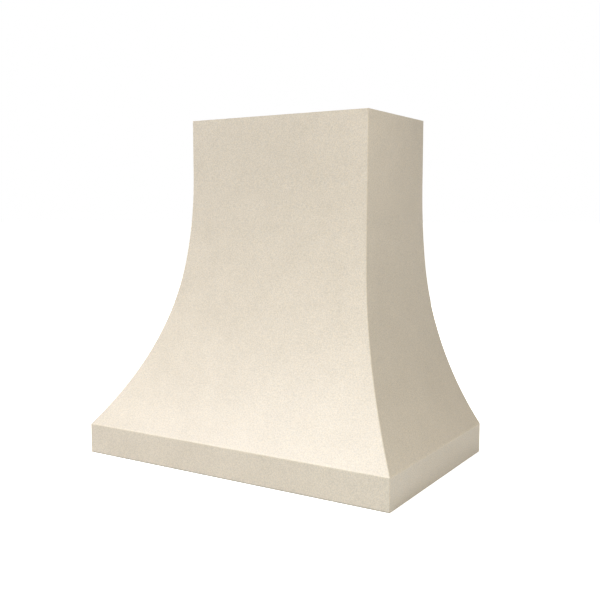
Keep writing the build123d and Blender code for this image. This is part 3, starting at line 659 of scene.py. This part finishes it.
for slot, name, colour, roughness, grain_size, grain_depth in (
        ("bright_steel", "ground_steel", (205, 205, 205), 0.2, 0.6, 0.01),
        ("bare_aluminium", "plain_aluminium", (214, 216, 218), 0.38, 0.9, 0.03),
        ("polished_trim", "polished_trim", (226, 226, 226), 0.08, 3.0, 0.002),
        ("nickel_magnet", "nickel_plate", (212, 206, 196), 0.16, 2.0, 0.004)):
    finishes[slot] = plain_metal(name, srgb(*colour), roughness, grain_size * MM, grain_depth * MM)
print("finishes so far:", sorted(finishes))

# %% [markdown]
# ## Plastics, enamel and glass
# The switch bank's plastic has the fine pitted skin of its steel mould, the fascia is
# smooth and glossy, and the motor's baked enamel has the soft waves called orange peel.
# All three are one even relief with dust in the gloss, so one function makes them from a
# pit size and depth in millimetres. A coat on top gives the glossy two a second shine.

# %% Plastic and enamel
def moulded(name, colour, roughness, pit_size, pit_depth, coat):
    """A plastic or enamel with an even fine relief."""
    material, tree, shader = new_material(name, Roughness=roughness, Coat_Weight=coat)
    place = place_coordinates(tree)
    pits = noise(tree, place, 1 / pit_size, 2.0)
    dust = noise(tree, place, 40.0, 4.0)
    light = tuple(min(1.0, v * 1.25 + 0.004) for v in colour)
    wire(tree, blend_colours(tree, dust, colour, light), shader.inputs["Base Color"])
    uneven = spread(tree, dust, 0.3, 0.7, roughness * 0.85, roughness * 1.2)
    wire(tree, uneven, shader.inputs["Roughness"])
    bumps(tree, shader, (pits, pit_depth))
    return material


for slot, name, colour, roughness, pit_size, pit_depth, coat in (
        ("motor_enamel", "motor_enamel", (62, 66, 70), 0.4, 2.2, 0.05, 0.3),
        ("black_fascia", "gloss_black", (20, 20, 21), 0.12, 6.0, 0.01, 0.5),
        ("black_moulding", "black_moulding", (34, 34, 35), 0.55, 0.8, 0.05, 0.0)):
    finishes[slot] = moulded(name, srgb(*colour), roughness, pit_size * MM, pit_depth * MM, coat)
print("finishes so far:", len(finishes))

# %% [markdown]
# The lamps have frosted glass, blasted with sand so that the bulb isn't seen through it.
# Fully clear glass with a rough surface would look dark here, because the lamp behind it
# is off. About half of the light goes through, and the white frost sends back the rest.

# %% Frosted glass
def frosted_glass():
    """Sand-blasted glass of a lamp that is off."""
    material, tree, shader = new_material("frosted_glass", Roughness=0.45, IOR=1.5,
                                          Transmission_Weight=0.55)
    frost = noise(tree, place_coordinates(tree), 1400.0, 2.0)
    colour = blend_colours(tree, frost, srgb(232, 234, 230), srgb(246, 247, 243))
    wire(tree, colour, shader.inputs["Base Color"])
    wire(tree, spread(tree, frost, 0.3, 0.7, 0.38, 0.55), shader.inputs["Roughness"])
    bumps(tree, shader, (frost, 0.02 * MM))
    return material


finishes["lamp_glass"] = frosted_glass()
print("finishes:", sorted(finishes))

# %% [markdown]
# Now every fixed part gets its finish. The record says which finish each part is made
# in; wood and stainless steel also need a direction, which follows the part's length.

# %% Dress the parts
def longest_axis(node):
    """X, Y or Z: the direction in which a part is longest."""
    small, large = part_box(node)
    spans = list(large - small)
    return "XYZ"[spans.index(max(spans))]


def finish_of(node, slot_name):
    """The material for one part."""
    if slot_name == "plywood":
        return ply_by_node[node]
    if node == "corner_battens":
        return wood_upright
    if slot_name == "softwood":
        return {"X": wood_across, "Y": wood_deep, "Z": wood_upright}[longest_axis(node)]
    if slot_name == "stainless":
        return stainless_y if "filter" in node and "baffles" in node else stainless_x
    return finishes[slot_name]


slot_of = {row["node"]: row["material_slot"] for row in frame["record"]["subparts"]}
for node, piece in nodes.items():
    material = finish_of(node, slot_of[node])
    for place in piece.material_slots:
        place.material = material
print("dressed", len(nodes), "parts")

# %% [markdown]
# ## Screws
# Screws, rivets and rings are turned parts. Blender's Screw modifier could turn their
# outline, but not the cross recess in a screw's head, so a helper does the lathe's work:
# each row of a profile becomes a ring of points, and faces join ring to ring. A row can be
# drawn in between four arms, which gives the recess. `joined` adds shapes up.

# %% Turned shapes
drawn_in = 0.62


def turned(profile, steps=24):
    """Points and faces of a lathe shape; each row is a radius, a height and a cross share."""
    points, faces, rows = [], [], []
    for radius, height, cross in profile:
        row = []
        for i in range(steps if radius > 0 else 1):
            angle = 2 * pi * i / steps
            reach = radius * (1 - drawn_in * cross * (1 - abs(cos(2 * angle)) ** 4))
            row.append(len(points))
            points.append((reach * cos(angle), reach * sin(angle), height))
        rows.append(row * (steps // len(row)))
    for lower, upper in zip(rows, rows[1:]):
        for i in range(steps):
            j = (i + 1) % steps
            faces.append(tuple(dict.fromkeys((lower[i], lower[j], upper[j], upper[i]))))
    return points, faces


def joined(*shapes):
    """Several shapes as one."""
    points, faces = [], []
    for more_points, more_faces in shapes:
        start = len(points)
        points += more_points
        faces += [tuple(start + i for i in face) for face in more_faces]
    return points, faces


print("a plain disc has", len(turned([(1, 0, 0), (0, 0, 0)])[1]), "faces")

# %% [markdown]
# The boards are held by wood screws with round heads and a cross recess, and the sheet
# metal by small hexagon screws with a washer under the head. A profile in shares of a
# radius and a height serves for every size of screw. A hexagon is a lathe shape with six
# steps, and a rivet or an indicator light is a simple dome.

# %% Screw heads and domes
def scaled(profile, radius, height):
    """A profile that is given in shares of a radius and a height."""
    return [(radius * r, height * h, cross) for r, h, cross in profile]


def round_head(radius, height):
    """The head of a screw with a cross recess."""
    profile = ((1, 0, 0), (1, 0.3, 0), (0.84, 0.78, 0), (0.66, 1, 0),
               (0.6, 1, 1), (0.5, 0.3, 1), (0, 0.25, 0))
    return turned(scaled(profile, radius, height), 32)


def hexagon_head(radius, height):
    """A hexagon head on a washer."""
    washer = ((1, 0, 0), (1, 0.2, 0), (0.7, 0.35, 0))
    head = ((0.74, 0.3, 0), (0.74, 0.85, 0), (0.6, 1, 0), (0, 1, 0))
    return joined(turned(scaled(washer, radius, height)), turned(scaled(head, radius, height), 6))


def dome(radius, height, angles, steps=24):
    """A round dome with one ring of points for each angle."""
    rings = [(radius * cos(t), height * sin(t), 0) for t in angles]
    return turned(rings + [(0, height, 0)], steps)


print("a round head has", len(round_head(4 * MM, 2 * MM)[0]), "points")

# %% [markdown]
# Each screw is the same shape in another place. A matrix holds a place and a direction, so
# a piece of many screws is one shape and a list of matrices. The copies are joined in one
# mesh, because a piece rides on one body and has one finish. Edges sharper than 35 degrees
# stay crisp, and the rest is shaded round.

# %% Placing copies
crisp_angle = radians(35)


def standing(place, direction, turn=0.0):
    """A matrix that stands a shape at a place, with its top towards a direction."""
    lean = Vector(direction).to_track_quat("Z", "Y").to_matrix().to_4x4()
    return Matrix.Translation(place) @ lean @ Matrix.Rotation(turn, 4, "Z")


def crowd(name, shape, matrices, material, body):
    """One piece made of copies of a shape."""
    copies = [([matrix @ Vector(p) for p in shape[0]], shape[1]) for matrix in matrices]
    mesh = mesh_from(name, *joined(*copies))
    mesh.set_sharp_from_angle(angle=crisp_angle)
    piece = link(name, mesh, material)
    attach(piece, body)


tip = standing((0, 0, 0), (0, 1, 0)) @ Vector((0, 0, 1))
print("a shape that stands towards the wall has its top at", [round(v, 2) for v in tip])

# %% [markdown]
# The rear board is screwed on along its outer edge, a finger's width and a half inside it.
# That edge is curved, so its place is read from the board's own mesh: each mesh edge that
# crosses a height says how far the board reaches there. The screws in the hanging rail and
# in the board below are flush, because the hood lies flat on the wall. Nobody lines up the
# recesses of real screws, so each is turned further than the last.

# %% Wood screws
zinc = plain_metal("zinc_plate", srgb(196, 192, 180), 0.3, 0.8 * MM, 0.01 * MM)
turn_step = 2.4
border, rim = 27 * MM, 14 * MM


def reach_at(node, height):
    """How far a part reaches to the right at a height, read from its own edges."""
    mesh, best = nodes[node].data, 0.0
    for edge in mesh.edges:
        a, b = (mesh.vertices[i].co for i in edge.vertices)
        if min(a.z, b.z) <= height <= max(a.z, b.z) and a.z != b.z:
            best = max(best, a.x + (b.x - a.x) * (height - a.z) / (b.z - a.z))
    return best


def screws(name, shape, spots):
    """One piece of screws on the hood; a spot is a place and the way a screw looks."""
    heads = [standing(place, way, i * turn_step) for i, (place, way) in enumerate(spots)]
    crowd(name, shape, heads, zinc, "hood")
    print(name + ":", len(heads))


to_wall, upwards = (0, 1, 0), (0, 0, 1)
frame_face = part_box("back_frame")[1].y
top_low, top_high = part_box("top_panel")
spots = [((side * (reach_at("back_frame", z) - border), frame_face, z), to_wall)
         for side in (-1, 1) for z in (0.11, 0.21, 0.32, 0.44, 0.57, 0.7)]
spots += [((x, frame_face, 0.107), to_wall) for x in (-0.26, -0.09, 0.09, 0.26)]
spots += [((x, y, high[2]), upwards) for y in (top_low.y + rim, frame_face - rim)
          for x in (-0.24, -0.08, 0.08, 0.24)]
spots += [((side * (top_high.x - rim), y, high[2]), upwards)
          for side in (-1, 1) for y in (0.04, 0.15)]
screws("wood_screws", round_head(4.2 * MM, 2.0 * MM), spots)
flush = [((x, wall_y, 0.876), to_wall) for x in (-0.235, -0.08, 0.08, 0.235)]
flush += [((x, wall_y, z), to_wall)
          for x, z in ((-0.36, 0.06), (-0.12, 0.02), (0.12, 0.06), (0.36, 0.02))]
screws("flush_screws", round_head(4.4 * MM, 0.5 * MM), flush)

# %% [markdown]
# The blower box has a flange all round that is screwed down on the liner, the collar has
# another that is screwed to the box, and two screws close the junction box. Their rows are
# counted from the boxes of the parts, half a flange in from the edge.

# %% Sheet metal screws
sheet_thickness, flange_width = 1.2 * MM, 12 * MM
collar_ring, collar_screws, cover_inset = 104 * MM, 8, 8 * MM


def middle_of(node):
    """The middle of a part's box."""
    return [(small + large) / 2 for small, large in zip(*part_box(node))]


box_low, box_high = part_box("blower_box")
flange_top = box_low.z + sheet_thickness
rows_y = (box_low.y + flange_width / 2, box_high.y - flange_width / 2)
rows_x = (box_low.x + flange_width / 2, box_high.x - flange_width / 2)
spots = [((x, y, flange_top), upwards) for x in (-0.16, -0.055, 0.055, 0.16) for y in rows_y]
spots += [((x, y, flange_top), upwards) for y in (-0.01, 0.06, 0.13, 0.195) for x in rows_x]
duct_y, collar_foot = middle_of("duct_collar")[1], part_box("duct_collar")[0].z
collar_angles = [2 * pi * (i + 0.5) / collar_screws for i in range(collar_screws)]
spots += [((collar_ring * cos(a), duct_y + collar_ring * sin(a), collar_foot + sheet_thickness),
           upwards) for a in collar_angles]
cover_low, cover_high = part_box("junction_cover")
cover_z = middle_of("junction_cover")[2]
spots += [((cover_high.x, y, cover_z), (1, 0, 0))
          for y in (cover_low.y + cover_inset, cover_high.y - cover_inset)]
screws("sheet_screws", hexagon_head(3.4 * MM, 2.8 * MM), spots)

# %% [markdown]
# ## Rivets in the filter frames
# Each baffle filter is a frame of folded steel, held at its corners by blind rivets. They
# lie in the tilted plane of the filter, so their places are counted along the filter from
# its rear lower edge. They belong to the filter that swings down, and ride on it.

# %% Filter rivets
tilt = radians(9)
forward, upward = Vector((0, -cos(tilt), sin(tilt))), Vector((0, sin(tilt), cos(tilt)))
filter_thick, rivet_inset = 22 * MM, 7 * MM
rivet = dome(2.4 * MM, 1.1 * MM, (0, 0.3, 0.6, 0.9, 1.2))
for side in ("left", "centre", "right"):
    lowest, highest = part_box(f"filter_{side}_baffles")
    frame_low, frame_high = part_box(f"filter_{side}_frame")
    middle_x = (lowest.x + highest.x) / 2
    half = (highest.x - lowest.x) / 2 + rivet_inset
    rear = Vector((middle_x, frame_high.y - filter_thick * sin(tilt), frame_low.z))
    length = (rear.y - frame_low.y) / cos(tilt)
    matrices = [standing(rear + Vector((x, 0, 0)) + forward * along, -upward)
                for x in (-half, half) for along in (rivet_inset, length - rivet_inset)]
    crowd(f"filter_{side}_rivets", rivet, matrices, finishes["bare_aluminium"],
          f"filter_{side}")
print("rivets lie", round(length - 2 * rivet_inset, 4), "m apart along a filter")

# %% [markdown]
# ## Pressed sheet
# Flat sheet drums when air rushes past it, so long half-round beads are pressed into the
# walls of the blower box. A bead is a half-round outline that is carried along a line and
# gets smaller towards both ends.

# %% Beads in the blower box
bead_width, bead_height = 9 * MM, 2.2 * MM
half_long, half_short, side_middle = 0.16, 0.07, 0.085


def bead(start, end, out):
    """A half-round bead from one point to another, with rounded ends."""
    start, end, out = Vector(start), Vector(end), Vector(out)
    along = (end - start).normalized()
    across = along.cross(out)
    angles = (pi / 2, 1.2, 0.8, 0.4, 0.0)
    stations = [(start - along * bead_width / 2 * sin(t), cos(t)) for t in angles]
    stations += [(end + along * bead_width / 2 * sin(t), cos(t)) for t in angles[::-1]]
    points = [place + across * (-cos(pi * i / 8)) * max(size, 0.02) * bead_width / 2
              + out * sin(pi * i / 8) * max(size, 0.02) * bead_height
              for place, size in stations for i in range(9)]
    faces = [(9 * s + i, 9 * s + i + 1, 9 * s + i + 10, 9 * s + i + 9)
             for s in range(len(stations) - 1) for i in range(8)]
    return points, faces


def sheet_piece(name, shape, matrix=Matrix.Identity(4)):
    """A single piece of galvanised sheet on the hood."""
    crowd(name, shape, [matrix], finishes["galvanised"], "hood")


wall_back = box_high.y - flange_width + sheet_thickness
wall_side = box_high.x - flange_width + sheet_thickness
wall_front = box_low.y + flange_width - sheet_thickness
heights = [box_low.z + share * (box_high.z - box_low.z) for share in (0.25, 0.5, 0.75)]
beads = [bead((-half_long, wall_back, z), (half_long, wall_back, z), to_wall) for z in heights]
beads += [bead((half_long, wall_front, z), (-half_long, wall_front, z), (0, -1, 0))
          for z in heights]
for side in (-1, 1):
    first, last = side * -half_short + side_middle, side * half_short + side_middle
    beads += [bead((side * wall_side, first, z), (side * wall_side, last, z), (side, 0, 0))
              for z in heights]
sheet_piece("box_beads", joined(*beads))
print("beads:", len(beads))

# %% [markdown]
# The duct collar is a strip that was bent to a tube. It has a bead all the way round, at
# which the duct stops when it is pushed on, and one folded seam behind. The bead is turned
# like a screw, and the seam is a thin strip with bevelled sides along a line of points.
# The cable's hole in the junction box has a rolled rim, so that the sheet can't cut it.

# %% Collar bead, seam and cable rim
collar_radius, collar_bead_z = 100 * MM, collar_foot + 16 * MM
rise, half_bead, sunk = 1.6 * MM, 3 * MM, 0.2 * MM
seam_length, seam_steps, knockout_x = 72 * MM, 12, 0.16


def strap(path, out, width, rise):
    """A thin flat strip with bevelled sides that follows a line of points."""
    points, faces = [], []
    for i, place in enumerate(path):
        along = Vector(path[min(i + 1, len(path) - 1)]) - Vector(path[max(i - 1, 0)])
        across = along.normalized().cross(Vector(out))
        for share, lift in ((-0.5, 0), (-0.4, 1), (0.4, 1), (0.5, 0)):
            points.append(Vector(place) + across * share * width + Vector(out) * lift * rise)
    for i in range(len(path) - 1):
        faces += [(4 * i + k, 4 * i + k + 1, 4 * i + k + 5, 4 * i + k + 4) for k in range(3)]
    return points, faces


half_round = [(collar_radius - sunk + rise * sin(pi * i / 8),
               collar_bead_z - half_bead * cos(pi * i / 8), 0) for i in range(9)]
sheet_piece("collar_bead", turned(half_round, 96), Matrix.Translation((0, duct_y, 0)))
seam_line = [(0.02 * MM, duct_y + collar_radius,
              collar_foot + sheet_thickness + seam_length * i / seam_steps)
             for i in range(seam_steps + 1)]
sheet_piece("collar_seam", strap(seam_line, to_wall, 9 * MM, 0.9 * MM))
cable_rim = [(14.2 * MM, 0, 0), (13.6 * MM, 0.7 * MM, 0), (12.2 * MM, 1.0 * MM, 0),
             (11.2 * MM, 0.7 * MM, 0), (11.2 * MM, 0, 0)]
knockout = Matrix.Translation((knockout_x, cover_high.y, cover_z))
sheet_piece("knockout_rim", turned(cable_rim, 48), knockout @ Matrix.Rotation(-pi / 2, 4, "X"))
print("collar bead at", round(collar_bead_z, 4), "m")

# %% [markdown]
# ## Lamps and controls from below
# The glass of a hood lamp has fine rings pressed into it, which spread the light. Each
# button sits in a turned ring, with a small indicator light beside it. These are small
# lathe shapes again, hung upside down on the land at the front of the liner.

# %% Lens rings, button rings and indicators
downwards = (0, 0, -1)
ring_pitch, ring_count, ring_lift = 2.0 * MM, 11, 0.7 * MM
light_offset = 13 * MM
lens_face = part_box("lamp_lens_left")[0].z
wave = ((0.98, 0), (0.75, 0.7), (0.5, 1), (0.25, 0.7))
waves = [((k + share) * ring_pitch, lift * ring_lift, 0)
         for k in range(ring_count, -1, -1) for share, lift in wave]
waves.append((0, 0, 0))
for side in ("left", "right"):
    lens_x, lens_y = middle_of(f"lamp_lens_{side}")[:2]
    hung = standing((lens_x, lens_y, lens_face), downwards)
    crowd(f"lens_rings_{side}", turned(waves, 72), [hung], finishes["lamp_glass"],
          "hood")
fascia_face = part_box("control_fascia")[0].z
button_x = [middle_of(f"button_{i}")[0] for i in range(1, 6)]
button_y = middle_of("button_1")[1]
button_ring = [(8.6 * MM, 0, 0), (8.4 * MM, 0.5 * MM, 0),
               (7.4 * MM, 0.5 * MM, 0), (7.2 * MM, 0, 0)]
crowd("button_rings", turned(button_ring, 48),
      [standing((x, button_y, fascia_face), downwards) for x in button_x],
      finishes["polished_trim"], "hood")
crowd("indicator_lights", dome(1.3 * MM, 0.8 * MM, (0, 0.4, 0.8, 1.2), 20),
      [standing((x, button_y - light_offset, fascia_face), downwards) for x in button_x],
      finishes["lamp_glass"], "hood")
print("buttons at", [round(x, 3) for x in button_x])

# %% [markdown]
# The motor is closed by a turned end cap, and four long bolts hold it. They are hidden in
# the blower box, but whoever lifts the box off sees them. Both are lathe shapes, stood on
# the motor's end and centred on its shaft.

# %% Motor cap and bolts
bolt_circle = 30 * MM
motor_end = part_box("motor")[1].x
axis_y, axis_z = middle_of("motor_shaft")[1:]
bolt_angles = [pi / 4 + i * pi / 2 for i in range(4)]
matrices = [standing((motor_end, axis_y + bolt_circle * cos(a), axis_z + bolt_circle * sin(a)),
                     (1, 0, 0), a) for a in bolt_angles]
crowd("motor_bolts", hexagon_head(3.2 * MM, 3.0 * MM), matrices, zinc, "hood")
cap = [(24 * MM, 0, 0), (24 * MM, 1.6 * MM, 0), (22.6 * MM, 2.4 * MM, 0), (9 * MM, 2.4 * MM, 0),
       (8 * MM, 4.4 * MM, 0), (0, 4.8 * MM, 0)]
crowd("motor_cap", turned(cap, 64), [standing((motor_end, axis_y, axis_z), (1, 0, 0))],
      finishes["motor_enamel"], "hood")
print("motor bolts:", len(matrices))

# %% [markdown]
# Last, Blender's view of colour is set to Standard, so that colours show as they are written.

# %% Finish
bpy.context.scene.view_settings.view_transform = "Standard"
